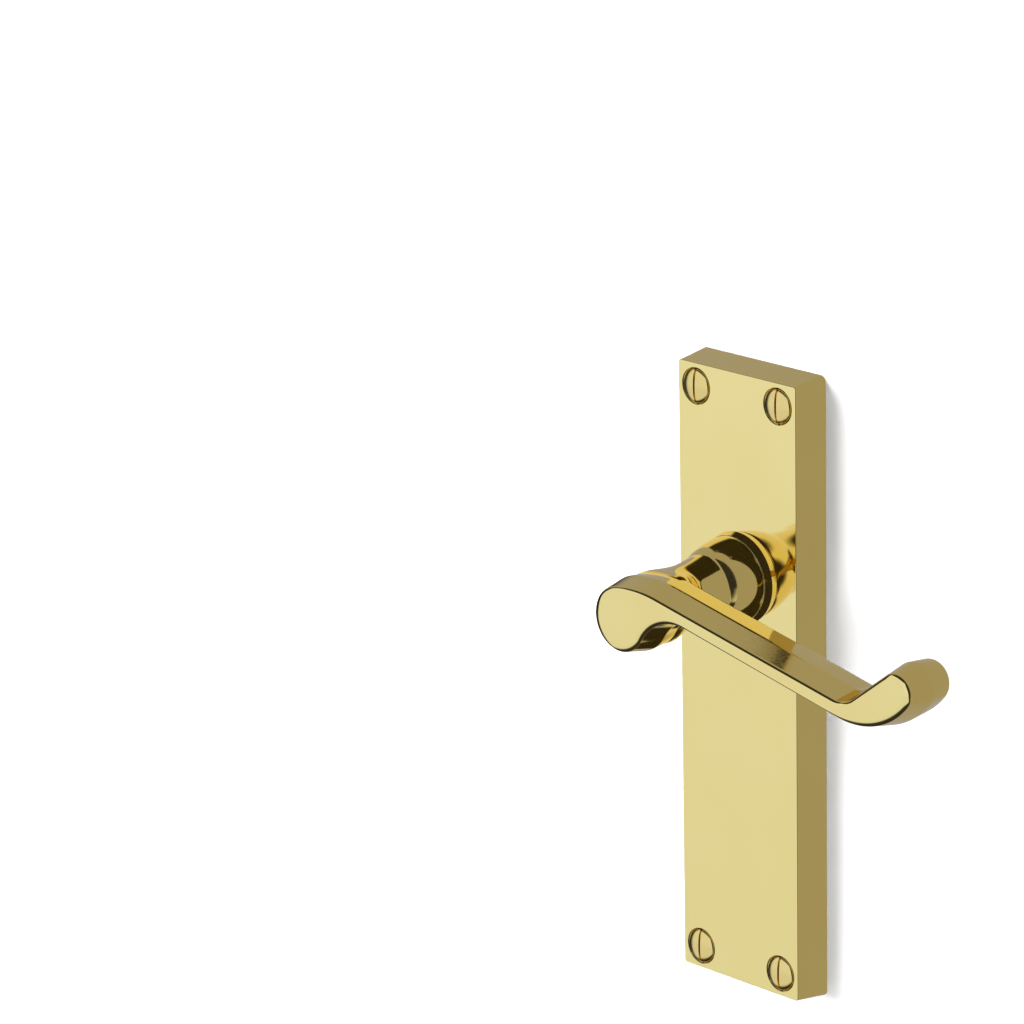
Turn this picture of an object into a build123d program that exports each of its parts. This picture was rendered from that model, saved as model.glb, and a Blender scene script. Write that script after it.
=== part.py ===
from build123d import *
import math
import os

# A pair of sprung brass lever latch handles on one square spindle, as fitted to a door.
#
# Frame: +Z is up, +X is the way both levers point, and the door lies in the XZ plane.
# The origin is where the spindle's axis crosses the middle of the door's thickness.
# "out" is the distance from the middle of the door towards the hand, on either side.
# The front handle has its plate at -Y and the rear handle has its plate at +Y.
# All sizes are in millimetres, and angles round the spindle run from +Z towards +X.

# ---- the door and the backplate ----
door_thickness = 44.0
plate_width = 40.0
plate_height = 155.0
plate_thickness = 9.2
plate_draft = 1.1
plate_corner = 1.6
plate_wall = 2.5
plate_front_wall = 2.8
plate_edge = 0.35
spindle_above_centre = 26.2
collar_foot_radius = 11.3
collar_top_radius = 10.75
collar_height = 2.2
collar_edge = 0.3

# ---- wood screws, No. 8 by one inch, raised countersunk heads ----
screw_spacing_x = 26.4
screw_spacing_z = 141.6
screw_length = 25.4
screw_hole_radius = 2.35
screw_boss_radius = 5.0
countersink_radius = 4.5
screw_head_radius = 4.15
screw_head_rise = 0.8
screw_shank_radius = 2.15
screw_thread_radius = 1.85
screw_point_length = 4.5
slot_width = 1.15
slot_depth = 1.5

# ---- the lever: neck, scroll and shank ----
neck_radius = 10.7
neck_gap = 0.2
neck_dome_middle = (9.9, 4.5)
neck_throat = (8.2, 9.0)
neck_waist_out = 20.0
neck_waist_radius = 7.3
scroll_back = 24.0
scroll_front = 38.0
scroll_front_edge = 1.5
scroll_back_edge = 1.8
bulb_centre = (-2.25, -1.9)
bulb_radius = 9.05
tip_centre = (84.2, 0.2)
tip_radius = 5.6
bar_top = ((36.6, 1.5), -11.6)
bar_bottom = ((36.4, -4.4), -12.0)
shoulder_radius = 35.0
notch_radius = 13.0
belly_radius = 22.0
elbow_radius = 6.0
rise_angle = 38.0
shank_radius = 7.0
shank_flat = 6.2
groove_radius = 6.3

# ---- spindle and its sockets ----
spindle_side = 8.0
socket_side = 8.1
socket_depth = 26.0
spindle_front_end = 46.5
spindle_rear_end = 38.5

# ---- the sprung works inside each backplate ----
bush_radius = 8.6
bush_flange_radius = 9.8
bush_flange = 0.6
running_clearance = 0.06
cam_flange = 0.7
cam_radius = 10.8
hub_radius = 8.6
lobe_reach = 16.0
lobe_half_angle = 8.0
dog_inner = 11.9
dog_outer = 14.0
dog_half_angle = 5.0
lever_travel = 45.0
stop_gap_angle = 0.6
stop_inner = 14.6
stop_outer = 16.8
stop_angle = 14.0
spring_radius = 10.0
spring_wire = 1.3
spring_turns = 1.25
spring_leg = 3.8
washer_thickness = 0.5
washer_radius = 9.6
clip_thickness = 0.6
clip_radius = 8.8
clip_gap = 5.0
clip_eye_radius = 1.5
clip_eye_hole = 0.7
shank_end_clearance = 0.1

# ---- places worked out from the dimensions above, as distances out ----
plate_back = door_thickness / 2
plate_face = plate_back + plate_thickness
wall_back = plate_face - plate_front_wall
collar_top = plate_face + collar_height
neck_start = collar_top + neck_gap
shank_end = plate_back + shank_end_clearance
clip_eye_x = clip_gap / 2 + clip_eye_radius - 0.1
clip_eye_z = -clip_radius - 0.6
clip_start = plate_back + 0.4
washer_start = clip_start + clip_thickness
cam_start = washer_start + washer_thickness
hub_start = cam_start + cam_flange
bush_start = wall_back - bush_flange
hub_end = bush_start - 0.2
socket_end = shank_end + socket_depth
plate_centre_z = -spindle_above_centre


def face_at(side, out):
    """The upright plane that lies out from the door's middle, +X right and +Z up."""
    return Plane.XZ.offset(side * out)


def round_spindle(angle, radius):
    """A point round the spindle, its angle counted from +Z towards +X."""
    turn = math.radians(angle)
    return (radius * math.sin(turn), radius * math.cos(turn))


def sector(start, end, inner, outer):
    """The outline of a block between two angles and two radii round the spindle."""
    with BuildLine(Plane.XY) as outline:
        a, b = round_spindle(start, inner), round_spindle(end, inner)
        c, d = round_spindle(end, outer), round_spindle(start, outer)
        middle = (start + end) / 2
        ThreePointArc(a, round_spindle(middle, inner), b)
        Line(b, c)
        ThreePointArc(c, round_spindle(middle, outer), d)
        Line(d, a)
    return outline.edges()


def backplate(side):
    """Cast plate: drafted sides, hollow back, collar, screw bosses, stop lugs, spring post."""
    with BuildPart() as plate:
        with BuildSketch(face_at(side, plate_back)):
            with Locations((0, plate_centre_z)):
                RectangleRounded(plate_width, plate_height, plate_corner)
        with BuildSketch(face_at(side, plate_face)):
            with Locations((0, plate_centre_z)):
                RectangleRounded(
                    plate_width - 2 * plate_draft,
                    plate_height - 2 * plate_draft,
                    plate_corner - plate_draft / 2,
                )
        loft()
        front = plate.faces().sort_by(Axis.Y)[0 if side > 0 else -1]
        fillet(front.edges(), plate_edge)
        with BuildSketch(face_at(side, plate_back)):
            with Locations((0, plate_centre_z)):
                Rectangle(plate_width - 2 * plate_wall, plate_height - 2 * plate_wall)
                with GridLocations(screw_spacing_x, screw_spacing_z, 2, 2):
                    Circle(screw_boss_radius, mode=Mode.SUBTRACT)
        extrude(amount=side * (wall_back - plate_back), mode=Mode.SUBTRACT)
        with BuildSketch(face_at(side, plate_face)):
            Circle(collar_foot_radius)
        with BuildSketch(face_at(side, collar_top)):
            Circle(collar_top_radius)
        loft()
        rim = plate.edges().filter_by(GeomType.CIRCLE).sort_by(Axis.Y)[0 if side > 0 else -1]
        fillet(rim, collar_edge)
        with BuildSketch(face_at(side, wall_back)):
            Circle(bush_radius)
        extrude(amount=side * (collar_top - wall_back), mode=Mode.SUBTRACT)
        with BuildSketch(face_at(side, cam_start - 0.9)):
            low = -lobe_half_angle - stop_gap_angle
            high = lever_travel + lobe_half_angle + stop_gap_angle
            make_face(sector(low - stop_angle, low, stop_inner, stop_outer))
            make_face(sector(high, high + stop_angle, stop_inner, stop_outer))
            with Locations(spring_post_place()):
                Circle(1.4)
        extrude(amount=side * (wall_back - cam_start + 0.9))
        with BuildSketch(face_at(side, plate_back)):
            with Locations((0, plate_centre_z)):
                with GridLocations(screw_spacing_x, screw_spacing_z, 2, 2):
                    Circle(screw_hole_radius)
        extrude(amount=side * plate_thickness, mode=Mode.SUBTRACT)
        for x, z in screw_places():
            with BuildSketch(Plane.XY.offset(z)):
                with BuildLine():
                    depth = countersink_radius - screw_hole_radius
                    Polyline(
                        (x, -side * (plate_face - depth)),
                        (x + screw_hole_radius, -side * (plate_face - depth)),
                        (x + countersink_radius, -side * plate_face),
                        (x + countersink_radius, -side * (plate_face + 1)),
                        (x, -side * (plate_face + 1)),
                        close=True,
                    )
                make_face()
            revolve(axis=Axis((x, 0, z), (0, 1, 0)), mode=Mode.SUBTRACT)
    return plate


def screw_places():
    """The four screw centres as (x, z)."""
    places = []
    for row in (0.5, -0.5):
        for column in (-0.5, 0.5):
            places.append((column * screw_spacing_x, plate_centre_z + row * screw_spacing_z))
    return places


def fixed_leg_angle():
    """Where the spring's fixed leg leaves its coil."""
    return moving_leg_angle() + 360 * spring_turns


def moving_leg_angle():
    """Where the spring's moving leg rests against the cam's dog."""
    middle = (dog_inner + dog_outer) / 2
    return dog_half_angle + math.degrees((spring_wire / 2 + 0.15) / middle)


def spring_post_place():
    """The cast post that holds the spring's fixed leg."""
    reach = spring_radius + spring_leg - 1.2
    lean = math.degrees((spring_wire / 2 + 1.4 + 0.1) / reach)
    return round_spindle(fixed_leg_angle() + lean, reach)


def neck_bush(side):
    """Turned bush pressed into the collar, with a flange behind the plate's front wall."""
    bore = shank_radius + running_clearance
    with BuildPart() as bush:
        with BuildSketch(Plane.XY):
            with BuildLine():
                Polyline(
                    (bore, -side * bush_start),
                    (bush_flange_radius, -side * bush_start),
                    (bush_flange_radius, -side * wall_back),
                    (bush_radius, -side * wall_back),
                    (bush_radius, -side * collar_top),
                    (bore, -side * collar_top),
                    close=True,
                )
            make_face()
        revolve(axis=Axis.Y)
    return bush


def touching_arc(line, below, radius, circle, circle_radius, inside):
    """The centre of an arc that touches a line and, further right or left, a circle.

    The arc lies below the line or above it, and the circle is inside it or beside it.
    Also gives where the arc meets the line and where it meets the circle.
    """
    (x, z), heading = line
    along = Vector(math.cos(math.radians(heading)), math.sin(math.radians(heading)))
    across = along.rotate(Axis.Z, -90 if below else 90)
    reach = radius - circle_radius if inside else radius + circle_radius
    start = Vector(x, z) + across * radius - Vector(*circle)
    spread = math.sqrt(start.dot(along) ** 2 - start.dot(start) + reach**2)
    step = -start.dot(along) + (spread if below else -spread)
    on_line = Vector(x, z) + along * step
    centre = on_line + across * radius
    away = (Vector(*circle) - centre).normalized() * radius
    return centre, on_line, centre + away


def scroll_outline():
    """The scroll seen from the front: a round bulb, a sloping bar and a turned-up tip."""
    top, top_line, top_bulb = touching_arc(
        bar_top, True, shoulder_radius, bulb_centre, bulb_radius, True
    )
    notch, notch_line, notch_bulb = touching_arc(
        bar_bottom, True, notch_radius, bulb_centre, bulb_radius, False
    )
    belly, belly_line, belly_tip = touching_arc(
        bar_bottom, False, belly_radius, tip_centre, tip_radius, True
    )
    rise = math.radians(rise_angle)
    tip_top = Vector(*tip_centre) + Vector(-math.sin(rise), math.cos(rise)) * tip_radius
    slope = math.radians(bar_top[1])
    run = Vector(math.cos(rise), math.sin(rise))
    bar = Vector(math.cos(slope), math.sin(slope))
    gap = tip_top - Vector(*bar_top[0])
    along = (gap.X * run.Y - gap.Y * run.X) / (bar.X * run.Y - bar.Y * run.X)
    elbow = Vector(*bar_top[0]) + bar * along
    setback = elbow_radius * math.tan((rise - slope) / 2)
    with BuildLine(Plane.XY) as outline:
        RadiusArc(top_bulb, top_line, shoulder_radius)
        Line(top_line, elbow - bar * setback)
        RadiusArc(elbow - bar * setback, elbow + run * setback, -elbow_radius)
        Line(elbow + run * setback, tip_top)
        ThreePointArc(tip_top, (tip_centre[0] + tip_radius, tip_centre[1]), belly_tip)
        RadiusArc(belly_tip, belly_line, belly_radius)
        Line(belly_line, notch_line)
        RadiusArc(notch_line, notch_bulb, -notch_radius)
        ThreePointArc(notch_bulb, (bulb_centre[0] - bulb_radius, bulb_centre[1]), top_bulb)
    return outline.edges()


def lever(side):
    """One casting: scroll, neck and shank, with the spindle's blind square socket."""
    with BuildPart() as handle:
        with BuildSketch(face_at(side, plate_face + scroll_back)):
            make_face(scroll_outline())
        extrude(amount=side * (scroll_front - scroll_back))
        caps = handle.faces().sort_by(Axis.Y)
        front, back = (caps[0], caps[-1]) if side > 0 else (caps[-1], caps[0])
        fillet(front.edges(), scroll_front_edge)
        fillet(back.edges(), scroll_back_edge)
        with BuildSketch(Plane.XY):
            with BuildLine():
                shoulder = (neck_dome_middle[0], -side * (neck_start + neck_dome_middle[1]))
                throat = (neck_throat[0], -side * (neck_start + neck_throat[1]))
                waist = (neck_waist_radius, -side * (plate_face + neck_waist_out))
                root = (neck_waist_radius - 0.2, -side * (plate_face + scroll_back + 3))
                start = (neck_radius, -side * neck_start)
                Polyline((0, root[1]), (0, start[1]), start)
                ThreePointArc(start, shoulder, throat)
                Spline(throat, waist, root, tangents=[(-0.16, -side), (0, -side)])
                Line(root, (0, root[1]))
            make_face()
        revolve(axis=Axis.Y)
        with BuildSketch(face_at(side, shank_end)):
            Circle(shank_radius)
        extrude(amount=side * (neck_start - shank_end))
        with BuildSketch(face_at(side, shank_end)):
            with Locations((shank_flat + 1, 0), (-shank_flat - 1, 0)):
                Rectangle(2, 2 * shank_radius)
        extrude(amount=side * (hub_end - shank_end), mode=Mode.SUBTRACT)
        with BuildSketch(face_at(side, clip_start)):
            Circle(shank_radius + 1)
            Circle(groove_radius, mode=Mode.SUBTRACT)
        extrude(amount=side * clip_thickness, mode=Mode.SUBTRACT)
        with BuildSketch(face_at(side, shank_end)):
            Rectangle(socket_side, socket_side)
        extrude(amount=side * socket_depth, mode=Mode.SUBTRACT)
    return handle


def drive_cam(side):
    """Steel cam keyed on the shank's flats: spring hub, stop lobe and driving dog."""
    with BuildPart() as cam:
        with BuildSketch(face_at(side, cam_start)):
            Circle(cam_radius)
            make_face(sector(-lobe_half_angle, lobe_half_angle, cam_radius - 1, lobe_reach))
        extrude(amount=side * cam_flange)
        with BuildSketch(face_at(side, hub_start)):
            Circle(hub_radius)
        extrude(amount=side * (hub_end - hub_start))
        with BuildSketch(face_at(side, hub_start)):
            make_face(sector(-dog_half_angle, dog_half_angle, dog_inner, dog_outer))
        extrude(amount=side * (hub_end - hub_start - 0.2))
        with BuildSketch(face_at(side, cam_start)):
            Circle(shank_radius + 0.02)
            with Locations((shank_flat + 1.02, 0), (-shank_flat - 1.02, 0)):
                Rectangle(2, 3 * shank_radius, mode=Mode.SUBTRACT)
        extrude(amount=side * (hub_end - cam_start), mode=Mode.SUBTRACT)
    return cam


def return_spring(side):
    """Torsion spring round the cam's hub, one leg on the dog and one on the plate's post."""
    pitch = (hub_end - hub_start - spring_wire - 0.3) / spring_turns
    first_out = hub_start + 0.15 + spring_wire / 2
    radial = round_spindle(moving_leg_angle(), 1)
    start = Plane(
        origin=(0, -side * first_out, 0),
        x_dir=(radial[0], 0, radial[1]),
        z_dir=(0, -side, 0),
    )
    coil = Helix(pitch, pitch * spring_turns, spring_radius, lefthand=side > 0)
    wire = start.from_local_coords(coil)
    with BuildPart() as spring:
        with BuildSketch(Plane(origin=wire @ 0, z_dir=wire % 0)):
            Circle(spring_wire / 2)
        sweep(path=wire)
        for end in (0, 1):
            foot = wire @ end
            away = Vector(foot.X, 0, foot.Z)
            with BuildSketch(Plane(origin=foot, z_dir=away)):
                Circle(spring_wire / 2)
            extrude(amount=spring_leg)
            with Locations(foot):
                Sphere(spring_wire / 2)
    return spring


def retaining_washer(side):
    """Plain steel washer between the cam and the circlip."""
    with BuildPart() as washer:
        with BuildSketch(face_at(side, washer_start)):
            Circle(washer_radius)
            Circle(shank_radius + running_clearance, mode=Mode.SUBTRACT)
        extrude(amount=side * washer_thickness)
    return washer


def circlip(side):
    """Spring steel clip in the shank's groove, open at the bottom between two eyes."""
    with BuildPart() as clip:
        with BuildSketch(face_at(side, clip_start)):
            Circle(clip_radius)
            with Locations((-clip_eye_x, clip_eye_z), (clip_eye_x, clip_eye_z)):
                Circle(clip_eye_radius)
            Circle(groove_radius, mode=Mode.SUBTRACT)
            with Locations((0, -clip_radius)):
                Rectangle(clip_gap, 2 * clip_radius - 4, mode=Mode.SUBTRACT)
            with Locations((-clip_eye_x, clip_eye_z), (clip_eye_x, clip_eye_z)):
                Circle(clip_eye_hole, mode=Mode.SUBTRACT)
        extrude(amount=side * clip_thickness)
    return clip


def wood_screw(side, x, z):
    """Slotted brass wood screw with a raised countersunk head, its slot upright."""
    seat = plate_face - 0.32
    tip = plate_face - screw_length
    with BuildPart() as screw:
        with BuildSketch(Plane.XY.offset(z)):
            with BuildLine():
                crown = (x, -side * (seat + screw_head_rise + 0.32))
                brim = (x + screw_head_radius, -side * seat)
                half = (x + screw_head_radius * 0.55, -side * (seat + 0.32 + screw_head_rise * 0.66))
                under = screw_head_radius - screw_shank_radius
                ThreePointArc(crown, half, brim)
                Polyline(
                    brim,
                    (x + screw_shank_radius, -side * (seat - under)),
                    (x + screw_shank_radius, -side * (plate_back + 0.9)),
                    (x + screw_thread_radius, -side * (plate_back + 0.6)),
                    (x + screw_thread_radius, -side * (tip + screw_point_length)),
                    (x, -side * tip),
                    crown,
                )
            make_face()
        revolve(axis=Axis((x, 0, z), (0, 1, 0)))
        with BuildSketch(face_at(side, seat + screw_head_rise + 0.4 - slot_depth)):
            with Locations((x, z)):
                Rectangle(slot_width, 3 * screw_head_radius)
        extrude(amount=side * 2 * slot_depth, mode=Mode.SUBTRACT)
    return screw


def spindle():
    """Plain 8 mm square steel bar through the latch and into both sockets."""
    length = spindle_front_end + spindle_rear_end
    with BuildPart() as bar:
        with BuildSketch(face_at(1, spindle_front_end)):
            Rectangle(spindle_side, spindle_side)
        extrude(amount=-length)
        ends = bar.faces().filter_by(Plane.XZ)
        chamfer(ends.edges(), 0.6)
    return bar


os.makedirs("parts", exist_ok=True)

for handle_name, side in (("front", 1), ("rear", -1)):
    pieces = {
        "backplate": backplate(side),
        "neck_bush": neck_bush(side),
        "lever": lever(side),
        "drive_cam": drive_cam(side),
        "return_spring": return_spring(side),
        "retaining_washer": retaining_washer(side),
        "circlip": circlip(side),
    }
    corners = ("top_left", "top_right", "bottom_left", "bottom_right")
    for corner, (x, z) in zip(corners, screw_places()):
        pieces[f"screw_{corner}"] = wood_screw(side, x, z)
    for name, piece in pieces.items():
        piece.part.label = f"{handle_name}_{name}"
        export_step(piece.part, f"parts/{handle_name}_{name}.step")

square_spindle = spindle()
square_spindle.part.label = "spindle"
export_step(square_spindle.part, "parts/spindle.step")
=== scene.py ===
# %% [markdown]
# # A pair of polished brass scroll lever handles
#
# Each handle is a hollow cast backplate with a sprung scroll lever, held by four slotted wood screws. The two handles
# share one square spindle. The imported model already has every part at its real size, as loose triangles. Polished
# brass is a mirror, and a mirror shows each flat facet, so the brass castings are made again here as smooth surfaces
# in the same places. The small steel works behind the plates keep their own shapes and get better finishes.

# %% Load the frame
import math

import bmesh
import bpy
import numpy as np
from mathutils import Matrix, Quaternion, Vector
from mathutils.geometry import delaunay_2d_cdt


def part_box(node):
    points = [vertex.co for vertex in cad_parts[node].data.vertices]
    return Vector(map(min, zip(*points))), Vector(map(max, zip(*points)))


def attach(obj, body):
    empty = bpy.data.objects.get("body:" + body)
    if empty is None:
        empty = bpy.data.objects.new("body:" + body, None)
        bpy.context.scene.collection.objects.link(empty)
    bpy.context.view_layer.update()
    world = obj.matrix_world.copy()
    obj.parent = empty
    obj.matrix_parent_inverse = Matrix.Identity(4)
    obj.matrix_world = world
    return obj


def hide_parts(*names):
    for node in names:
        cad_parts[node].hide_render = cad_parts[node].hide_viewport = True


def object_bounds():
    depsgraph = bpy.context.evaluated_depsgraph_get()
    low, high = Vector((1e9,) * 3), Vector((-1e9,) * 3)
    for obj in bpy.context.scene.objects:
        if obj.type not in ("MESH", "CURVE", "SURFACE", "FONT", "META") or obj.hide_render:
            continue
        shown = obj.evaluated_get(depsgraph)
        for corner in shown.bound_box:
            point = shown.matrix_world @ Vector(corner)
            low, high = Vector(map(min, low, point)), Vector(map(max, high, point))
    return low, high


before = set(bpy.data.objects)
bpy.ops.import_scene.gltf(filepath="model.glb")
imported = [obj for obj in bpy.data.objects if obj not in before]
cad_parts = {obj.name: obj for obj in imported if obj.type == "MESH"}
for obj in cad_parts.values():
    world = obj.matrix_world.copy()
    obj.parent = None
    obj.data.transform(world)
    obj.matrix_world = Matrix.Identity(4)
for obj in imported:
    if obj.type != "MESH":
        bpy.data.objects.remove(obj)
cad_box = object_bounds()

# %% [markdown]
# ## Sizes
#
# The drawing is in millimetres, and Blender works in metres, so one constant changes the unit. Depths are counted
# outwards from the middle of the door, in the way a fitter counts them, and are the same on both sides of the door.
# Places that the frame knows, such as the plate's back and the screws' centres, are read from it.

# %% Driving sizes in millimetres
MM = 0.001

plate_low, plate_high = (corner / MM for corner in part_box("front_backplate"))
plate_centre_z = (plate_low.z + plate_high.z) / 2
plate_half_width = (plate_high.x - plate_low.x) / 2
plate_half_height = (plate_high.z - plate_low.z) / 2
plate_back = -plate_high.y
collar_top = -plate_low.y
collar_height = 2.2
plate_face = collar_top - collar_height
front_wall = 2.8
wall_back = plate_face - front_wall
plate_draft = 1.1
back_corner = 1.6
front_corner = 0.7
edge_round = 0.16
wall = 2.5
collar_foot = 11.3
collar_rim = 10.75
collar_edge = 0.3
bush_radius = 8.6
screw_hole = 2.35
screw_boss = 5.0
countersink = 4.5
countersink_edge = 0.08
stop_lugs = ((-22.6, -8.6), (53.6, 67.6))
stop_inner, stop_outer = 14.6, 16.8
lug_low = plate_back + 0.6
lug_high = wall_back + 0.5
post_radius = 1.4
post_edge = 0.2
print(f"plate {2 * plate_half_width:.1f} x {2 * plate_half_height:.1f} mm, face at {plate_face:.1f} mm from mid-door")

# %% [markdown]
# ## From patches to a mesh
#
# A casting is a few simple surfaces that meet at their edges. Each surface is a patch: a grid of points worked out
# by a formula, or a flat face with round holes in it. Patches are given as across, out and up. One function turns
# them to the front or the rear of the door, joins the shared points and points every face outwards. The flat faces
# are shaded apart from the grids, so that a big mirror-flat face isn't bent by the small round at its edge.

# %% Patches and the function that joins them
def grid(points, closed=False):
    """A smooth patch from an array of rows by columns by 3; closed joins the last column to the first."""
    rows, columns = points.shape[:2]
    index = np.arange(rows * columns).reshape(rows, columns)
    if closed:
        index = np.concatenate([index, index[:, :1]], axis=1)
    corners = (index[:-1, :-1], index[:-1, 1:], index[1:, 1:], index[1:, :-1])
    return points.reshape(-1, 3), np.stack(corners, axis=-1).reshape(-1, 4), True


def lathe(profile, centre=(0, 0), steps=72):
    """Turns (radius, out) points round an axis through centre: across = r sin a, up = r cos a."""
    profile = np.asarray(profile, float)
    angle = np.arange(steps) * 2 * np.pi / steps
    radius, out = profile[:, :1], profile[:, 1:]
    across = centre[0] + radius * np.sin(angle)
    up = centre[1] + radius * np.cos(angle)
    return grid(np.stack([across, out + 0 * angle, up], axis=-1), closed=True)


def circle(radius, centre=(0, 0), steps=72):
    """The rim of a lathe patch, as (across, up) points."""
    angle = np.arange(steps) * 2 * np.pi / steps
    return np.stack([centre[0] + radius * np.sin(angle), centre[1] + radius * np.cos(angle)], axis=-1)


def flat_face(out, outline, holes=()):
    """A flat patch inside an outline and outside its holes, cut into triangles that keep every rim point."""
    loops = [np.asarray(loop, float) for loop in (outline, *holes)]
    points = np.concatenate(loops)
    first = np.cumsum([0] + [len(loop) for loop in loops])
    edges = []
    for start, end in zip(first[:-1], first[1:]):
        ring = np.arange(start, end)
        edges.append(np.stack([ring, np.roll(ring, -1)], axis=-1))
    edges = np.concatenate(edges).tolist()
    made, _, faces, *_ = delaunay_2d_cdt([Vector(p) for p in points], edges, [], 0, 1e-7)
    made = np.array([tuple(p) for p in made])
    faces = np.array(faces)
    middle = made[faces].mean(axis=1)
    inside = np.zeros(len(faces), bool)
    for loop in loops:
        after = np.roll(loop, -1, axis=0)
        x, z = middle[:, :1], middle[:, 1:]
        spans = (loop[:, 1] > z) != (after[:, 1] > z)
        rise = np.where(after[:, 1] == loop[:, 1], 1, after[:, 1] - loop[:, 1])
        crossing = loop[:, 0] + (z - loop[:, 1]) / rise * (after[:, 0] - loop[:, 0])
        inside ^= (np.sum(spans & (x < crossing), axis=1) % 2).astype(bool)
    placed = np.stack([made[:, 0], np.full(len(made), out), made[:, 1]], axis=-1)
    return placed, faces[inside], False


crease_angle = math.radians(28)


def skin(name, patches, side, material, body, replaced):
    """One mesh from patches, in metres, on the front (side 1) or the rear (side -1) of the door."""
    points = np.concatenate([patch[0] for patch in patches]) * (MM, -side * MM, MM)
    mesh = bpy.data.meshes.new(name)
    faces, smooth, first = [], [], 0
    for patch_points, patch_faces, is_smooth in patches:
        faces += (patch_faces + first).tolist()
        smooth += [is_smooth] * len(patch_faces)
        first += len(patch_points)
    mesh.from_pydata(points.tolist(), [], faces)
    mesh.polygons.foreach_set("use_smooth", smooth)
    work = bmesh.new()
    work.from_mesh(mesh)
    bmesh.ops.remove_doubles(work, verts=work.verts, dist=2e-6)
    bmesh.ops.dissolve_degenerate(work, edges=work.edges, dist=1e-7)
    bmesh.ops.recalc_face_normals(work, faces=work.faces)
    open_edges = 0
    for edge in work.edges:
        faces_here = edge.link_faces
        open_edges += not edge.is_manifold
        if len(faces_here) != 2 or edge.calc_face_angle() > crease_angle:
            edge.smooth = False
        elif faces_here[0].smooth != faces_here[1].smooth:
            edge.smooth = False
    for face in work.faces:
        face.smooth = True
    work.to_mesh(mesh)
    work.free()
    mesh.materials.append(material)
    piece = bpy.data.objects.new(name, mesh)
    bpy.context.scene.collection.objects.link(piece)
    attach(piece, body)
    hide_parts(*replaced)
    print(f"{name}: {len(mesh.polygons)} faces, {open_edges} open edges")
    return piece


# %% [markdown]
# ## Helper for materials
#
# Colours are written as the hex values that a paint chart or a picture editor gives, and one function turns them
# into the linear values that the renderer works with. One small function adds any node with its settings and links.

# %% Colour and node helpers
def linear(hex_colour):
    """sRGB hex, such as 'F1D27C', to linear red, green, blue and alpha."""
    channels = np.array([int(hex_colour[i : i + 2], 16) for i in (0, 2, 4)]) / 255
    low = channels / 12.92
    high = ((channels + 0.055) / 1.055) ** 2.4
    return (*np.where(channels <= 0.04045, low, high).tolist(), 1.0)


def add(tree, kind, inputs=None, **settings):
    """Adds a node, sets its settings, and fills each named input with a value or a link."""
    made = tree.nodes.new(kind)
    for name, value in settings.items():
        setattr(made, name, value)
    for name, value in (inputs or {}).items():
        if isinstance(value, bpy.types.NodeSocket):
            tree.links.new(value, made.inputs[name])
        else:
            made.inputs[name].default_value = value
    return made


def metal(name, colours, roughness, grain, lacquer=0.0, stretch=(1, 1, 1)):
    """A metal whose colour, gloss and relief vary softly, with a grain of the given size in millimetres."""
    material = bpy.data.materials.new(name)
    material.use_nodes = True
    tree = material.node_tree
    tree.nodes.clear()
    place = add(tree, "ShaderNodeTexCoord").outputs["Object"]
    turned = add(tree, "ShaderNodeMapping", {"Vector": place, "Scale": stretch})
    fine = add(
        tree,
        "ShaderNodeTexNoise",
        {"Vector": turned.outputs["Vector"], "Scale": 1 / (grain * MM), "Detail": 3.0},
    ).outputs["Fac"]
    wave = add(
        tree, "ShaderNodeTexNoise", {"Vector": place, "Scale": 1 / (wave_length * MM), "Detail": 1.0}
    ).outputs["Fac"]
    gloss = add(
        tree,
        "ShaderNodeMapRange",
        {"Value": fine, "From Min": 0.3, "From Max": 0.7, "To Min": roughness[0], "To Max": roughness[1]},
    )
    ripple = add(tree, "ShaderNodeBump", {"Height": wave, "Strength": 1.0, "Distance": wave_depth * MM})
    bump = add(
        tree,
        "ShaderNodeBump",
        {"Height": fine, "Normal": ripple.outputs["Normal"], "Strength": 1.0, "Distance": grain_depth * MM},
    )
    colour = add(
        tree,
        "ShaderNodeMix",
        {"Factor": wave, 6: linear(colours[0]), 7: linear(colours[1])},
        data_type="RGBA",
    )
    shader = add(
        tree,
        "ShaderNodeBsdfPrincipled",
        {
            "Base Color": colour.outputs[2],
            "Metallic": 1.0,
            "Roughness": gloss.outputs["Result"],
            "Normal": bump.outputs["Normal"],
            "Coat Weight": lacquer,
            "Coat Roughness": 0.06,
        },
    )
    add(tree, "ShaderNodeOutputMaterial", {"Surface": shader.outputs["BSDF"]})
    return material


# %% [markdown]
# ## The metals
#
# The plates and levers are cast brass, ground, polished on a soft mop and lacquered. Polishing leaves a mirror with a
# very soft waviness and hair-fine mop lines. The screws are turned brass with faint lathe marks. The works are zinc
# plated steel, the spring and the clip are blued spring steel, and the bush is acetal, a slippery white plastic.

# %% Finishes
wave_length = 18.0
wave_depth = 0.006
grain_depth = 0.0004
plate_brass = metal("brass_mop_polished_lacquered", ("F3D881", "F1D47A"), (0.05, 0.09), 0.6, 0.1, (1, 1, 0.06))
lever_brass = metal("brass_hand_polished_lacquered", ("F3D881", "EFD178"), (0.05, 0.09), 0.8, 0.1)
screw_brass = metal("brass_turned", ("EED17C", "E3C168"), (0.1, 0.18), 0.4)
zinc_steel = metal("steel_zinc_plated", ("C9C8BE", "B3B4B0"), (0.28, 0.42), 0.6)
spring_steel = metal("steel_oil_tempered", ("6B6A68", "55565A"), (0.3, 0.45), 0.5, 0.0, (1, 0.1, 1))
bar_steel = metal("steel_cold_drawn_bar", ("9C9B98", "8A8A8A"), (0.25, 0.4), 0.6, 0.0, (1, 0.05, 1))


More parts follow.
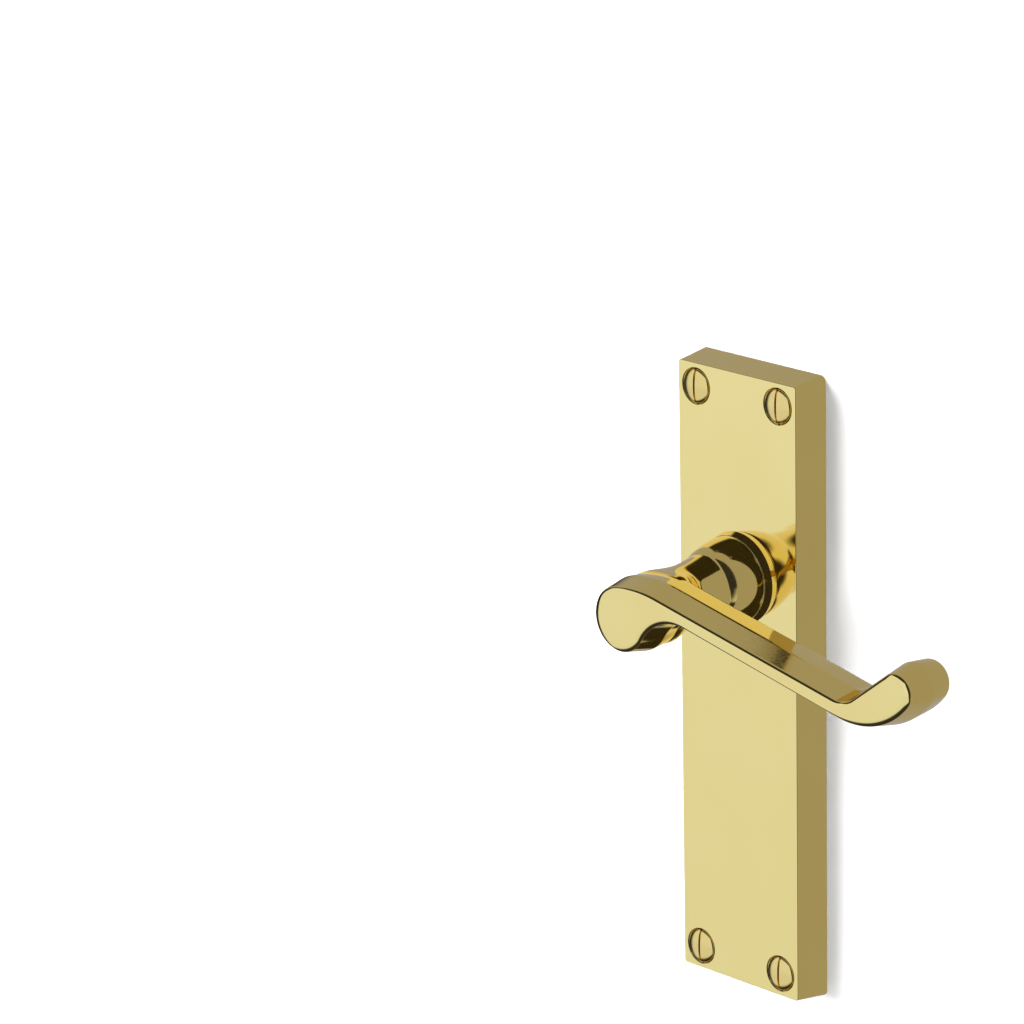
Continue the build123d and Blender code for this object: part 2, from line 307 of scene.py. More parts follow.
def acetal():
    """Moulded acetal: white, slightly waxy, with a fine moulded grain."""
    material = bpy.data.materials.new("acetal_moulded")
    material.use_nodes = True
    tree = material.node_tree
    tree.nodes.clear()
    place = add(tree, "ShaderNodeTexCoord")
    grain = add(tree, "ShaderNodeTexNoise", {"Vector": place.outputs["Object"], "Scale": 2500.0})
    bump = add(tree, "ShaderNodeBump", {"Height": grain.outputs["Fac"], "Distance": 0.01 * MM})
    shader = add(
        tree,
        "ShaderNodeBsdfPrincipled",
        {"Base Color": linear("EDEBE3"), "Roughness": 0.35, "IOR": 1.48, "Normal": bump.outputs["Normal"]},
    )
    add(tree, "ShaderNodeOutputMaterial", {"Surface": shader.outputs["BSDF"]})
    return material


node_finishes = {
    "neck_bush": acetal(),
    "drive_cam": zinc_steel,
    "retaining_washer": zinc_steel,
    "circlip": spring_steel,
    "spindle": bar_steel,
}
for node_name, node_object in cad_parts.items():
    for part_name, finish in node_finishes.items():
        if node_name.endswith(part_name):
            node_object.material_slots[0].material = finish

# %% [markdown]
# ## The backplate
#
# The real plate is a hollow casting. Its sides lean in by a little over a millimetre so that it leaves the mould, its
# front edges are rounded only as much as polishing rounds them, and a low collar stands round the lever's neck. A
# rounded rectangle is the section, and it is carried outwards in rows: each row is drawn in by the draft, and the
# last rows follow a quarter circle into the front face. The cavity, the bosses and the screw holes are worked out in
# the same way, so the back looks like a real casting too.

# %% The plate's outlines
def rounded_rectangle(half_width, half_height, corner, steps=9):
    """Four quarter circles joined by straight sides, as (across, up) points round the plate's centre."""
    quarter = np.linspace(0, np.pi / 2, steps)
    loops = []
    for turn in range(4):
        angle = quarter + turn * np.pi / 2
        sign_x = 1 if turn in (0, 3) else -1
        sign_z = 1 if turn in (0, 1) else -1
        centre = np.array([sign_x * (half_width - corner), sign_z * (half_height - corner)])
        loops.append(centre + corner * np.stack([np.cos(angle), np.sin(angle)], axis=-1))
    return np.concatenate(loops) + (0, plate_centre_z)


def cavity_outline(steps=10):
    """A rectangle whose corners are bitten by the round screw bosses."""
    half_width, half_height = plate_half_width - wall, plate_half_height - wall
    boss_x, boss_z = abs(screw_centres[0][0]), screw_centres[0][1] - plate_centre_z
    gap_x, gap_z = half_width - boss_x, half_height - boss_z
    start = math.atan2(-math.sqrt(screw_boss**2 - gap_x**2), gap_x)
    end = math.atan2(gap_z, -math.sqrt(screw_boss**2 - gap_z**2)) - 2 * math.pi
    angle = np.linspace(start, end, steps)
    bite = np.stack([boss_x + screw_boss * np.cos(angle), boss_z + screw_boss * np.sin(angle)], axis=-1)
    loops = [bite, (bite * (-1, 1))[::-1], bite * (-1, -1), (bite * (1, -1))[::-1]]
    return np.concatenate(loops) + (0, plate_centre_z)


def screw_centre(node):
    """The middle of a screw's box, as (across, up) in millimetres."""
    low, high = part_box(node)
    return ((low.x + high.x) / 2 / MM, (low.z + high.z) / 2 / MM)


corners = ("top_right", "top_left", "bottom_left", "bottom_right")
screw_centres = [screw_centre(f"front_screw_{corner}") for corner in corners]
print("screw centres in mm:", [(round(x, 1), round(z, 1)) for x, z in screw_centres])


# %% The plate
def lift(loop, out):
    """Places (across, up) points at one depth."""
    return np.stack([loop[:, 0], np.full(len(loop), out), loop[:, 1]], axis=-1)


def plate_side():
    """The drafted side and the rounded front edge, as a stack of rounded rectangles."""
    side_rows = [(plate_back, 0.0), (plate_back + 3, 0.0), (plate_face - edge_round - 0.4, 0.0)]
    angle = np.linspace(0, np.pi / 2, 6)
    edge_rows = zip(plate_face - edge_round * (1 - np.sin(angle)), edge_round * (1 - np.cos(angle)))
    rows = []
    for out, inset in (*side_rows, *edge_rows):
        share = (out - plate_back) / (plate_face - plate_back)
        drawn_in = plate_draft * share + inset
        corner = back_corner + (front_corner - back_corner) * share - inset
        section = rounded_rectangle(plate_half_width - drawn_in, plate_half_height - drawn_in, corner)
        rows.append(lift(section, out))
    return np.stack(rows)


def block(start, end, inner, outer, low, high, steps=8):
    """A closed block between two angles and two radii round the spindle, and between two depths."""
    angle = np.radians(np.linspace(start, end, steps))
    rim = [(radius * np.sin(angle), radius * np.cos(angle)) for radius in (inner, outer)]
    loop = np.concatenate([np.stack(rim[0], axis=-1), np.stack(rim[1], axis=-1)[::-1]])
    sides = grid(np.stack([lift(loop, low), lift(loop, high)]), closed=True)
    return [(sides[0], sides[1], False), flat_face(low, loop), flat_face(high, loop)]


def backplate(side, name, body):
    """Sides, front face, collar, countersinks, cavity, back rim, stop lugs and spring post."""
    sides = plate_side()
    cavity = cavity_outline()
    front_holes = [circle(countersink + countersink_edge, centre, 48) for centre in screw_centres]
    back_holes = [circle(screw_hole, centre, 48) for centre in screw_centres]
    angle = np.linspace(0, np.pi / 2, 6)
    collar_round = np.stack(
        [collar_rim - collar_edge * (1 - np.cos(angle)), collar_top - collar_edge * (1 - np.sin(angle))],
        axis=-1,
    )
    collar = [(collar_foot, plate_face), *collar_round, (bush_radius, collar_top), (bush_radius, wall_back)]
    cone = countersink - screw_hole
    hole = [
        (screw_hole, plate_back),
        (screw_hole, plate_face - cone),
        (countersink, plate_face - countersink_edge),
        (countersink + countersink_edge, plate_face),
    ]
    patches = [
        grid(sides, closed=True),
        flat_face(plate_face, sides[-1][:, [0, 2]], [*front_holes, circle(collar_foot, steps=96)]),
        lathe(collar, steps=96),
        grid(np.stack([lift(cavity, plate_back), lift(cavity, wall_back)]), closed=True),
        flat_face(plate_back, sides[0][:, [0, 2]], [cavity, *back_holes]),
        flat_face(wall_back, cavity, [circle(bush_radius, steps=96)]),
    ]
    patches += [lathe(hole, centre, 48) for centre in screw_centres]
    for start, end in stop_lugs:
        patches += block(start, end, stop_inner, stop_outer, lug_low, lug_high)
    post = [
        (0, lug_low),
        (post_radius - post_edge, lug_low),
        (post_radius, lug_low + post_edge),
        (post_radius, lug_high),
        (0, lug_high),
    ]
    patches.append(lathe(post, post_centre, 24))
    return skin(name, patches, side, plate_brass, body, [name])


# %% [markdown]
# ## The return spring
#
# A torsion spring is round wire wound on a mandrel, with its two ends left straight as legs. One leg is pushed by the
# cam and the other is held by a post in the plate. The path is a leg, a helix and a leg, and the wire's round section
# is carried along it. The section's two directions are the ones square to the path, so the wire stays round.

# %% The spring and the post that holds it
spring_low, spring_high = (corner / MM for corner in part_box("front_return_spring"))
spring_radius = 10.0
spring_wire = 1.3
spring_leg = 3.8
spring_turns = 1.25
spring_start_angle = 8.5
spring_first = -spring_high.y + spring_wire / 2
spring_last = -spring_low.y - spring_wire / 2
post_reach = spring_radius + spring_leg - 1.2
post_angle = math.radians(spring_start_angle + 360 * spring_turns + 9.8)
post_centre = (post_reach * math.sin(post_angle), post_reach * math.cos(post_angle))


def tube(path, radius, steps=14):
    """A round section carried along a path that winds round the out axis, with closed ends."""
    ahead = np.gradient(path, axis=0)
    ahead /= np.linalg.norm(ahead, axis=1, keepdims=True)
    first = np.cross(ahead, (0, 1, 0))
    first /= np.linalg.norm(first, axis=1, keepdims=True)
    second = np.cross(first, ahead)
    angle = np.arange(steps) * 2 * np.pi / steps
    ring = first[:, None] * np.cos(angle)[:, None] + second[:, None] * np.sin(angle)[:, None]
    rows = path[:, None] + radius * ring
    ends = [np.repeat(path[i][None, None], steps, axis=1) for i in (0, -1)]
    return grid(np.concatenate([ends[0], rows, ends[1]]), closed=True)


def return_spring(side, name, body):
    """Leg, helix of 1.25 turns and leg: the angle grows evenly with the depth."""
    turn = np.linspace(0, 1, 100)
    angle = np.radians(spring_start_angle + 360 * spring_turns * turn)
    out = spring_first + (spring_last - spring_first) * turn
    coil = np.stack([spring_radius * np.sin(angle), out, spring_radius * np.cos(angle)], axis=-1)
    reach = np.linspace(spring_leg, 0.6, 6)[:, None]
    legs = []
    for end in (0, -1):
        away = coil[end] * (1, 0, 1) / spring_radius
        legs.append(coil[end] + away * reach)
    path = np.concatenate([legs[0], coil, legs[1][::-1]])
    return skin(name, [tube(path, spring_wire / 2)], side, spring_steel, body, [name])


# %% [markdown]
# ## The lever
#
# The lever is one casting: a flat-faced scroll that carries a round neck. Seen from the front, the scroll is a round
# bulb, a sloping bar and a turned-up tip. It is drawn with tangent arcs and straight lines, as a pattern maker draws
# it. Points in this plane are complex numbers, across plus up times i, because turning and measuring them is then a
# multiplication. The edge's section is carried round that outline: a flat front with a crisp edge, a polished round
# that spreads at both ends, a strip that leans forward, a soft ridge, a strip that leans back, and a larger round.

# %% The scroll's outline
scroll_back = plate_face + 24.0
scroll_front = plate_face + 38.0
bulb_centre, bulb_radius = -2.25 - 1.9j, 9.05
tip_centre, tip_radius = 84.2 + 0.2j, 5.6
bar_top = (36.6 + 1.5j, -11.6)
bar_bottom = (36.4 - 4.4j, -12.0)
shoulder_radius = 35.0
notch_radius = 13.0
belly_radius = 22.0
elbow_radius = 6.0
rise_angle = 38.0


def heading(degrees):
    """The unit complex number that points along an angle from +X."""
    return complex(math.cos(math.radians(degrees)), math.sin(math.radians(degrees)))


def touching_arc(line, below, radius, round_centre, round_radius, inside):
    """The centre and ends of an arc that touches a line and a circle, as a compass finds them."""
    along = heading(line[1])
    across = along * (-1j if below else 1j)
    reach = radius - round_radius if inside else radius + round_radius
    start = line[0] + across * radius - round_centre
    dot = (start * along.conjugate()).real
    spread = math.sqrt(dot**2 - abs(start) ** 2 + reach**2)
    on_line = line[0] + along * (-dot + (spread if below else -spread))
    centre = on_line + across * radius
    away = (round_centre - centre) / abs(round_centre - centre) * radius
    return centre, on_line, centre + away


def arc(centre, start, end, clockwise=True, step=3.0):
    """Points from start to end round a centre, each with its direction into the metal."""
    radius = abs(start - centre)
    first = np.angle(start - centre)
    sweep = np.angle((end - centre) / (start - centre))
    if clockwise and sweep > 0:
        sweep -= 2 * np.pi
    if not clockwise and sweep < 0:
        sweep += 2 * np.pi
    count = max(4, int(abs(np.degrees(sweep)) / step * max(1, radius / 12)) + 1)
    outward = np.exp(1j * (first + np.linspace(0, sweep, count)))
    return centre + radius * outward, -outward if clockwise else outward


def straight(start, end, step=1.5):
    """Points along a line without its ends, each with its direction into the metal."""
    count = max(3, int(abs(end - start) / step))
    share = np.linspace(0, 1, count)[1:-1]
    inward = (end - start) / abs(end - start) * -1j
    return start + (end - start) * share, np.full(len(share), inward)


def scroll_outline():
    """Clockwise from the bulb's top: shoulder, bar, elbow, rise, tip, belly, bar, notch and bulb."""
    top = touching_arc(bar_top, True, shoulder_radius, bulb_centre, bulb_radius, True)
    notch = touching_arc(bar_bottom, True, notch_radius, bulb_centre, bulb_radius, False)
    belly = touching_arc(bar_bottom, False, belly_radius, tip_centre, tip_radius, True)
    run, bar = heading(rise_angle), heading(bar_top[1])
    tip_top = tip_centre + 1j * run * tip_radius
    gap = tip_top - bar_top[0]
    elbow = bar_top[0] + bar * (gap * run.conjugate()).imag / (bar * run.conjugate()).imag
    setback = elbow_radius * math.tan(math.radians(rise_angle - bar_top[1]) / 2)
    elbow_start, elbow_end = elbow - bar * setback, elbow + run * setback
    stretches = [
        arc(top[0], top[2], top[1]),
        straight(top[1], elbow_start),
        arc(elbow_start + 1j * bar * elbow_radius, elbow_start, elbow_end, clockwise=False),
        straight(elbow_end, tip_top),
        arc(tip_centre, tip_top, belly[2]),
        arc(belly[0], belly[2], belly[1]),
        straight(belly[1], notch[1]),
        arc(notch[0], notch[1], notch[2], clockwise=False),
        arc(bulb_centre, notch[2], top[2]),
    ]
    points = np.concatenate([stretch[0] for stretch in stretches])
    inward = np.concatenate([stretch[1] for stretch in stretches])
    keep = np.abs(points - np.roll(points, 1)) > 1e-3
    return points[keep], inward[keep]


outline, outline_inward = scroll_outline()
print(f"scroll outline: {len(outline)} points, {outline.real.min():.1f} to {outline.real.max():.1f} mm across")

# %% The scroll's section
ridge_out = plate_face + 31.0
ridge_radius = 3.0
front_lean = 11.0
back_lean = 6.0
front_break = 22.0
front_width = 1.0
front_depth = 0.95
front_spread = 1.5
front_rows = 10
back_round = 1.8


def smooth_step(value, low, high):
    """0 below low, 1 above high, and an S-shaped curve between."""
    share = np.clip((value - low) / (high - low), 0, 1)
    return share * share * (3 - 2 * share)


def scroll_section():
    """(inset, out) from the front face to the back face: two leaning strips with a round at each of three edges."""
    lean, fall = math.radians(front_lean), math.radians(back_lean)
    ridge = np.linspace(lean, -fall, 9)
    ridge_points = np.stack(
        [ridge_radius * (1 - np.cos(ridge)), ridge_out + ridge_radius * np.sin(ridge)], axis=-1
    )
    turn = np.radians(np.linspace(front_break, 88, front_rows))
    depth = front_depth * (np.cos(turn[0]) - np.cos(turn))
    reach = scroll_front - depth[-1] - ridge_points[0, 1]
    strip_inset = ridge_points[0, 0] + reach * math.tan(lean)
    front = np.stack([strip_inset + front_width * (1 - np.sin(turn)), scroll_front - depth], axis=-1)
    back_angle = np.linspace(-fall, -np.pi / 2, 8)
    drop = ridge_points[-1, 1] - scroll_back - back_round + back_round * math.sin(fall)
    back_inset = ridge_points[-1, 0] + drop * math.tan(fall) + back_round * math.cos(fall)
    back = np.stack(
        [back_inset - back_round * np.cos(back_angle), scroll_back + back_round * (1 + np.sin(back_angle))],
        axis=-1,
    )
    return np.concatenate([front, ridge_points, back])


def scroll():
    """The section carried round the outline; the front round is narrow along the bar and spreads at both ends."""
    section = scroll_section()
    near_end = 1 - smooth_step(outline.real, 4, 22) + smooth_step(outline.real, 62, 82)
    spread = front_spread * smooth_step(outline_inward.imag, -1.05, -0.1) * near_end
    rise = np.zeros(len(section))
    rise[:front_rows] = 1 - np.sin(np.radians(np.linspace(front_break, 88, front_rows)))
    inset = section[:, :1] + rise[:, None] * spread[None]
    plane = outline[None] + outline_inward[None] * inset
    out = np.broadcast_to(section[:, 1:], plane.shape)
    rows = np.stack([plane.real, out, plane.imag], axis=-1)
    faces = [flat_face(section[end, 1], rows[end][:, [0, 2]]) for end in (0, -1)]
    return [grid(rows, closed=True), *faces]


# %% [markdown]
# ## The neck and the shank
#
# The neck starts as wide as the collar with a dome, draws in to a waist like a turned candlestick, and swells again
# until it is one with the scroll. The radius is a function of two things, the angle round the spindle and the
# distance from the plate: near the plate it is a circle, and near the scroll it has grown into the scroll's own
# outline. The shank behind it turns in the bush. It has two flats for the cam, a groove for the clip and a square
# socket.

# %% The neck
neck_start = collar_top + 0.2
neck_radius = 10.7
throat_radius = 8.2
throat_height = 9.0
dome_slope = 0.43
dome_power = 2.5
waist_out = plate_face + 20
waist_radius = 7.3
longest_reach = 10.0
flare_start = plate_face + 18.5
flare_end = plate_face + 25.3


def reach_of_scroll(angle):
    """How far the scroll's edge is from the spindle's axis in each direction, with a limit."""
    direction = np.sin(angle) + 1j * np.cos(angle)
    start = outline[None] * direction.conjugate()[:, None]
    end = np.roll(outline, -1)[None] * direction.conjugate()[:, None]
    crosses = (start.imag > 0) != (end.imag > 0)
    rise = np.where(crosses, end.imag - start.imag, 1)
    along = start.real - start.imag * (end.real - start.real) / rise
    along = np.where(crosses & (along > 0), along, np.inf)
    return np.minimum(along.min(axis=1), longest_reach)


def neck():
    """Dome, stem and flare: a circle near the plate, and the scroll's outline at the far end."""
    angle = np.arange(120) * 2 * np.pi / 120
    out = np.concatenate([
        neck_start + np.array([0, 0.1, 0.3]),
        neck_start + np.linspace(1, throat_height, 18),
        neck_start + throat_height + np.array([0.3, 0.9]),
        np.linspace(plate_face + 13.4, flare_start, 7),
        np.linspace(flare_start + 0.5, flare_end, 16),
        [flare_end + 1.2],
    ])
    share = np.clip((out - neck_start) / throat_height, 0, 1)
    radius = neck_radius - (neck_radius - throat_radius) * (
        dome_slope * share + (1 - dome_slope) * share**dome_power
    )
    stem = np.clip((out - neck_start - throat_height) / (waist_out - neck_start - throat_height), 0, 1)
    radius -= (throat_radius - waist_radius) * (1 - (1 - stem) ** 2)
    radius[:2] -= (0.2, 0.05)
    target = reach_of_scroll(angle)
    for _ in range(6):
        target = (np.roll(target, 1) + 2 * target + np.roll(target, -1)) / 4
    target = np.maximum(target - 0.12, waist_radius - 0.6)
    flare = smooth_step(out, flare_start, flare_end)
    full = radius[:, None] + flare[:, None] * (target[None] - waist_radius)
    rows = np.stack([full * np.sin(angle), out[:, None] + 0 * angle, full * np.cos(angle)], axis=-1)
    ends = [flat_face(out[end], rows[end][:, [0, 2]]) for end in (0, -1)]
    return [grid(rows, closed=True), *ends]


# %% The shank
shank_radius = 7.0
shank_flat = 6.2
shank_end = plate_back + 0.1
hub_end = wall_back - 0.8
groove_start = plate_back + 0.4
groove_end = groove_start + 0.6
groove_radius = 6.3
socket_half = 4.05
socket_end = shank_end + 26.0


def square_loop(half, steps=24):
    """A square cut into as many points a side as the shank's rim has a quarter turn."""
    side = np.linspace(-half, half, steps, endpoint=False)
    edge = np.full(steps, half)
    loops = [np.stack([side, edge], -1), np.stack([edge, -side], -1), np.stack([-side, -edge], -1)]
    return np.concatenate([*loops, np.stack([-edge, side], -1)])


def shank():
    """A round bar with two flats, a clip groove and a blind square socket."""
    angle = np.arange(96) * 2 * np.pi / 96
    stations = [
        (shank_end, shank_radius, shank_flat),
        (groove_start, shank_radius, shank_flat),
        (groove_start, groove_radius, shank_flat),
        (groove_end, groove_radius, shank_flat),
        (groove_end, shank_radius, shank_flat),
        (hub_end, shank_radius, shank_flat),
        (hub_end, shank_radius, shank_radius),
        (neck_start + 1, shank_radius, shank_radius),
    ]
    rows = []
    for out, radius, flat in stations:
        across = np.clip(radius * np.sin(angle), -flat, flat)
        rows.append(np.stack([across, np.full(96, out), radius * np.cos(angle)], axis=-1))
    rows = np.stack(rows)
    socket = square_loop(socket_half)
    walls = grid(np.stack([lift(socket, shank_end), lift(socket, socket_end)]), closed=True)
    bar = grid(rows, closed=True)
    return [
        (bar[0], bar[1], False),
        (walls[0], walls[1], False),
        flat_face(shank_end, rows[0][:, [0, 2]], [socket]),
        flat_face(socket_end, socket),
        flat_face(neck_start + 1, rows[-1][:, [0, 2]]),
    ]


def lever(side, name, body):
    """Scroll, neck and shank in one piece."""
    return skin(name, [*scroll(), *neck(), *shank()], side, lever_brass, body, [name])


# %% [markdown]
# ## The wood screws
#
# Number 8 slotted wood screws with raised countersunk heads. The slot splits the domed head into two halves, so each
# half is its own patch: rows run from the slot to the rim, and each row spans the head's width there. The shank is
# turned, and the thread is a ridge whose phase grows with both the angle and the depth, which makes it a helix. The
# ridge fades out at the plain shank and at the point.

# %% A wood screw
head_radius = 4.15
head_seat = plate_face - 0.15
head_rise = 0.95
slot_half = 0.3
screw_length = 25.4
screw_end = plate_face - screw_length
plain_end = plate_back + 1.5
thread_pitch = 2.8
thread_core = 1.45
thread_depth = 0.65
slot_floor = head_seat - 0.06


def dome(across, up):
    """The raised head's height above its seat, from its centre to its rim."""
    share = np.clip(1 - (across**2 + up**2) / head_radius**2, 0, 1)
    return head_seat + head_rise * share**0.5


def head_half(sign):
    """One half of the head: each row is a loop over the dome and back under it, and the slot wall is flat."""
    turn = np.linspace(0, np.pi / 2, 14)
    across = slot_half + (head_radius - slot_half) * np.sin(turn)
    span = np.sin(np.linspace(-np.pi / 2, np.pi / 2, 33))
    up = np.sqrt(np.maximum(head_radius**2 - across**2, 0))[:, None] * span[None]
    across = np.broadcast_to(across[:, None], up.shape)
    top = np.stack([sign * across, dome(across, up), up], axis=-1)
    under = top * (1, 0, 1) + (0, slot_floor, 0)
    wall_patch = grid(np.stack([top[0], under[0]]))
    return [grid(np.concatenate([top, under[:, ::-1]], axis=1), closed=True), (*wall_patch[:2], False)]


def screw_body():
    """Slot floor, cone, plain shank, thread and point: the radius falls with depth, and the thread adds a ridge."""
    angle = np.arange(32) * 2 * np.pi / 32
    out = np.concatenate([
        [head_seat - 0.02, head_seat - 0.1, head_seat - 2.0, head_seat - 2.2],
        np.linspace(head_seat - 2.6, plain_end, 3),
        np.linspace(plain_end - 0.1, screw_end + 0.1, 90),
    ])
    cone = np.maximum(head_radius - 0.02 - (head_seat - out), 2.0)
    point = np.clip((out - screw_end) / 5.0, 0.02, 1)
    core = np.where(out > plain_end, cone, thread_core * point**0.8)
    depth = np.where(out > plain_end, 0, thread_depth * np.clip((plain_end - out) / 1.5, 0, 1) * point**0.6)
    phase = (plain_end - out)[:, None] / thread_pitch - angle[None] / (2 * np.pi)
    ridge = np.maximum(np.cos(2 * np.pi * phase), 0) ** 3
    radius = core[:, None] + depth[:, None] * ridge
    rows = np.stack([radius * np.sin(angle), out[:, None] + 0 * angle, radius * np.cos(angle)], axis=-1)
    ends = [flat_face(out[end], rows[end][:, [0, 2]]) for end in (0, -1)]
    return [grid(rows, closed=True), *ends]


def wood_screw(side, name, body, centre):
    """The head's two halves and the threaded body, moved to the screw's place."""
    patches = []
    for points, faces, is_smooth in (*head_half(1), *head_half(-1), *screw_body()):
        patches.append((points + (centre[0], 0, centre[1]), faces, is_smooth))
    return skin(name, patches, side, screw_brass, body, [name])


# %% Both handles
for handle, side in (("front", 1), ("rear", -1)):
    fixed, turning = f"{handle}_handle", f"{handle}_lever"
    backplate(side, f"{handle}_backplate", fixed)
    return_spring(side, f"{handle}_return_spring", fixed)
    lever(side, f"{handle}_lever", turning)
    for corner, centre in zip(corners, screw_centres):
        wood_screw(side, f"{handle}_screw_{corner}", fixed, centre)

# %% [markdown]
# ## Backdrop and floor
#
# A handle is shown best on a plain white sheet that stands where the door's face would be, so that the plate throws
# a soft shadow on it. The sheet is one-sided: from behind it lets everything through, so the rear handle and the
# spindle can be seen from the other side. Polished brass would mirror a white sheet as flat white, so in reflections
# the sheet glows with a painted reflection, the middle grey of the room, and a painted dark patch low on the left
# darkens the edges of the bulb. The floor doesn't show in reflections, and the studio does that work.

# %% Stage
stage_reach = 1.2
floor_drop = 0.06
# room_grey and room_dark light the world; on the backdrop they are also painted: a painted grey reflection and a
# painted dark patch, whose left edge and top are the next two sizes.
room_grey = (0.41, 0.41, 0.43, 1)
room_dark = (0.035, 0.037, 0.045, 1)
painted_dark_patch_edge = -0.045
painted_dark_patch_top = 0.03


def one_sided_white():
    """White paint that only exists on the side its face points to; mirrors see it as a painted grey reflection."""
    material = bpy.data.materials.new("paper_white_one_sided_painted_reflection")
    material.use_nodes = True
    tree = material.node_tree
    tree.nodes.clear()
    facing = add(tree, "ShaderNodeNewGeometry").outputs["Backfacing"]
    paper = add(tree, "ShaderNodeBsdfDiffuse", {"Color": linear("F4F4F4")})
    spot = add(tree, "ShaderNodeSeparateXYZ", {"Vector": add(tree, "ShaderNodeTexCoord").outputs["Object"]})
    # Painted dark patch: low on the left, mirrors see the sheet near black instead of grey.
    leftness = add(
        tree, "ShaderNodeMapRange", {"Value": spot.outputs["X"], "From Min": painted_dark_patch_edge, "From Max": painted_dark_patch_edge - 0.02}
    )
    lowness = add(
        tree, "ShaderNodeMapRange", {"Value": spot.outputs["Z"], "From Min": painted_dark_patch_top, "From Max": painted_dark_patch_top - 0.02}
    )
    painted_dark_patch = add(
        tree, "ShaderNodeMath", {0: leftness.outputs[0], 1: lowness.outputs[0]}, operation="MULTIPLY"
    ).outputs[0]
    shade = add(tree, "ShaderNodeMix", {0: painted_dark_patch, 6: room_grey, 7: room_dark}, data_type="RGBA").outputs[2]
    # Painted reflection: glossy rays see the sheet glow grey instead of its white paint.
    painted_reflection_grey = add(tree, "ShaderNodeEmission", {"Color": shade})
    mirrored = add(tree, "ShaderNodeLightPath").outputs["Is Glossy Ray"]
    front = add(tree, "ShaderNodeMixShader", {0: mirrored, 1: paper.outputs[0], 2: painted_reflection_grey.outputs[0]})
    clear = add(tree, "ShaderNodeBsdfTransparent")
    mixed = add(tree, "ShaderNodeMixShader", {0: facing, 1: front.outputs[0], 2: clear.outputs[0]})
    add(tree, "ShaderNodeOutputMaterial", {"Surface": mixed.outputs[0]})
    return material


def sheet(name, points, material):
    """A flat rectangle from its four corners, facing the side from which they run anticlockwise."""
    mesh = bpy.data.meshes.new(name)
    mesh.from_pydata([tuple(point) for point in points], [], [(0, 1, 2, 3)])
    mesh.materials.append(material)
    made = bpy.data.objects.new(name, mesh)
    bpy.context.scene.collection.objects.link(made)
    return made


paper = one_sided_white()
floor_z = cad_box[0].z - floor_drop
wall_y = -plate_back * MM
sheet(
    "backdrop",
    [
        (-stage_reach, wall_y, floor_z),
        (stage_reach, wall_y, floor_z),
        (stage_reach, wall_y, stage_reach),
        (-stage_reach, wall_y, stage_reach),
    ],
    paper,
)
floor = sheet(
    "floor",
    [
        (-stage_reach, -stage_reach, floor_z),
        (stage_reach, -stage_reach, floor_z),
        (stage_reach, stage_reach, floor_z),
        (-stage_reach, stage_reach, floor_z),
    ],
    paper,
)
floor.visible_glossy = False
print(f"floor at {floor_z:.3f} m, backdrop at y = {wall_y:.3f} m")

# %% [markdown]
# ## Light
#
# A mirror has no colour of its own: it shows the room. So the room is built first, as a world whose brightness
# depends on direction: a middle grey wall behind the object, a dark room in front and beside it, and three soft
# panels, a large one in front on the left, one low behind and a smaller one on the right. The panels are what makes
# brass look bright, and the dark room gives it its nearly black edges. A wide sun that reflections don't see lights
# the paper and makes the shadow, and bounced light that falls on the paper is a neutral grey.

# %% Studio
def direction(azimuth, elevation):
    """The unit vector to a place in the room: azimuth 0 is in front, 90 is right, -90 is left and 180 is behind."""
    across, up = math.radians(azimuth), math.radians(elevation)
    return Vector((math.sin(across) * math.cos(up), -math.cos(across) * math.cos(up), math.sin(up)))


def dot(tree, vector, axis):
    """The dot product of a direction with a fixed axis."""
    return add(tree, "ShaderNodeVectorMath", {0: vector, 1: tuple(axis)}, operation="DOT_PRODUCT").outputs["Value"]


def fade(tree, value, dark, bright):
    """A smooth step from 0 at dark to 1 at bright."""
    ends = {"Value": value, "From Min": dark, "From Max": bright}
    return add(tree, "ShaderNodeMapRange", ends, interpolation_type="SMOOTHSTEP").outputs["Result"]


def panel(tree, vector, azimuth, elevation, half_width, half_height, softness):
    """How much of a soft rectangular panel lies in each direction; its half sizes are angles."""
    ahead = direction(azimuth, elevation)
    right = direction(azimuth + 90, 0)
    up = right.cross(ahead)
    share = fade(tree, dot(tree, vector, ahead), 0.0, 0.1)
    for axis, half in ((right, half_width), (up, half_height)):
        offset = add(tree, "ShaderNodeMath", {0: dot(tree, vector, axis)}, operation="ABSOLUTE").outputs[0]
        dark = math.sin(math.radians(half + softness))
        bright = math.sin(math.radians(half - softness))
        edge = fade(tree, offset, dark, bright)
        share = add(tree, "ShaderNodeMath", {0: share, 1: edge}, operation="MULTIPLY").outputs[0]
    return share


def mix(tree, share, first, second):
    """Blends two colours."""
    return add(tree, "ShaderNodeMix", {0: share, 6: first, 7: second}, data_type="RGBA").outputs[2]


front_panel = (0.9, 1.03, 1.5, 1)
front_low = (0.84, 0.95, 1.32, 1)
side_panel = (0.62, 0.64, 0.72, 1)
rear_panel = (0.95, 0.97, 1.05, 1)
paper_fill = (0.52, 0.52, 0.52, 1)

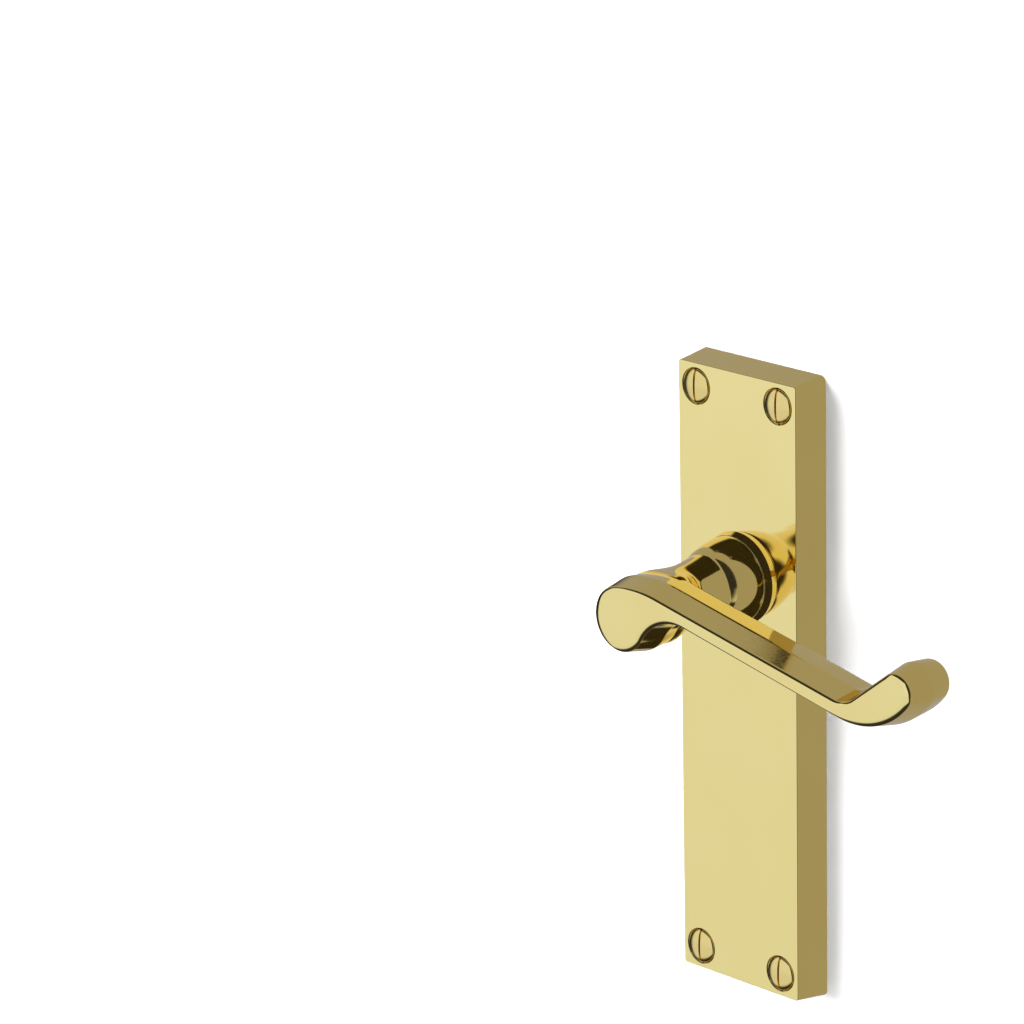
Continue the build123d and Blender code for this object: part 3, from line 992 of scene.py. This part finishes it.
world = bpy.data.worlds.new("studio")
world.use_nodes = True
bpy.context.scene.world = world
room = world.node_tree
room.nodes.clear()
towards = add(room, "ShaderNodeTexCoord").outputs["Generated"]
behind = fade(room, dot(room, towards, (0, 1, 0)), 0.15, 0.4)
colour = mix(room, behind, room_dark, room_grey)
colour = mix(room, panel(room, towards, 108, -20, 18, 18, 5), colour, side_panel)
colour = mix(room, panel(room, towards, 197, -17, 36, 25, 5), colour, rear_panel)
height = dot(room, towards, (0, 0, 1))
front_colour = mix(room, fade(room, height, -0.37, -0.22), front_low, front_panel)
colour = mix(room, panel(room, towards, -21, -6, 41, 36, 5), colour, front_colour)
rays = add(room, "ShaderNodeLightPath").outputs
colour = mix(room, rays["Is Diffuse Ray"], colour, paper_fill)
colour = mix(room, rays["Is Camera Ray"], colour, (1, 1, 1, 1))
background = add(room, "ShaderNodeBackground", {"Color": colour, "Strength": 1.0})
add(room, "ShaderNodeOutputWorld", {"Surface": background.outputs[0]})

key = bpy.data.lights.new("key_sun", "SUN")
key.energy = 5.6
key.angle = math.radians(50)
key_lamp = bpy.data.objects.new("key_sun", key)
key_lamp.rotation_mode = "QUATERNION"
key_lamp.rotation_quaternion = Vector((1.1, 1.0, -0.5)).to_track_quat("-Z", "Y")
key_lamp.visible_glossy = False
bpy.context.scene.collection.objects.link(key_lamp)
bpy.context.scene.view_settings.view_transform = "Standard"

# %% [markdown]
# ## Camera
#
# A long lens from the front right and a little above, as in a catalogue: parallel edges stay nearly parallel. The
# camera aims beside the handle, so the handle stands in the right half of the picture.

# %% Camera
lens = bpy.data.cameras.new("catalogue_lens")
lens.lens = 191.3
lens.sensor_width = 36
camera = bpy.data.objects.new("camera", lens)
bpy.context.scene.collection.objects.link(camera)
aim = Vector((-86.7, -plate_back, -3.8)) * MM
away = direction(46.41, 17.0)
camera.location = aim + away * 1.355
camera.rotation_mode = "QUATERNION"
roll = math.radians(-1.15)
level = (-away).to_track_quat("-Z", "Y")
camera.rotation_quaternion = level @ Quaternion((0, 0, 1), roll)
bpy.context.scene.camera = camera

# %% Write the sizes and finish
print("CAD box", [tuple(round(v, 4) for v in corner) for corner in cad_box])
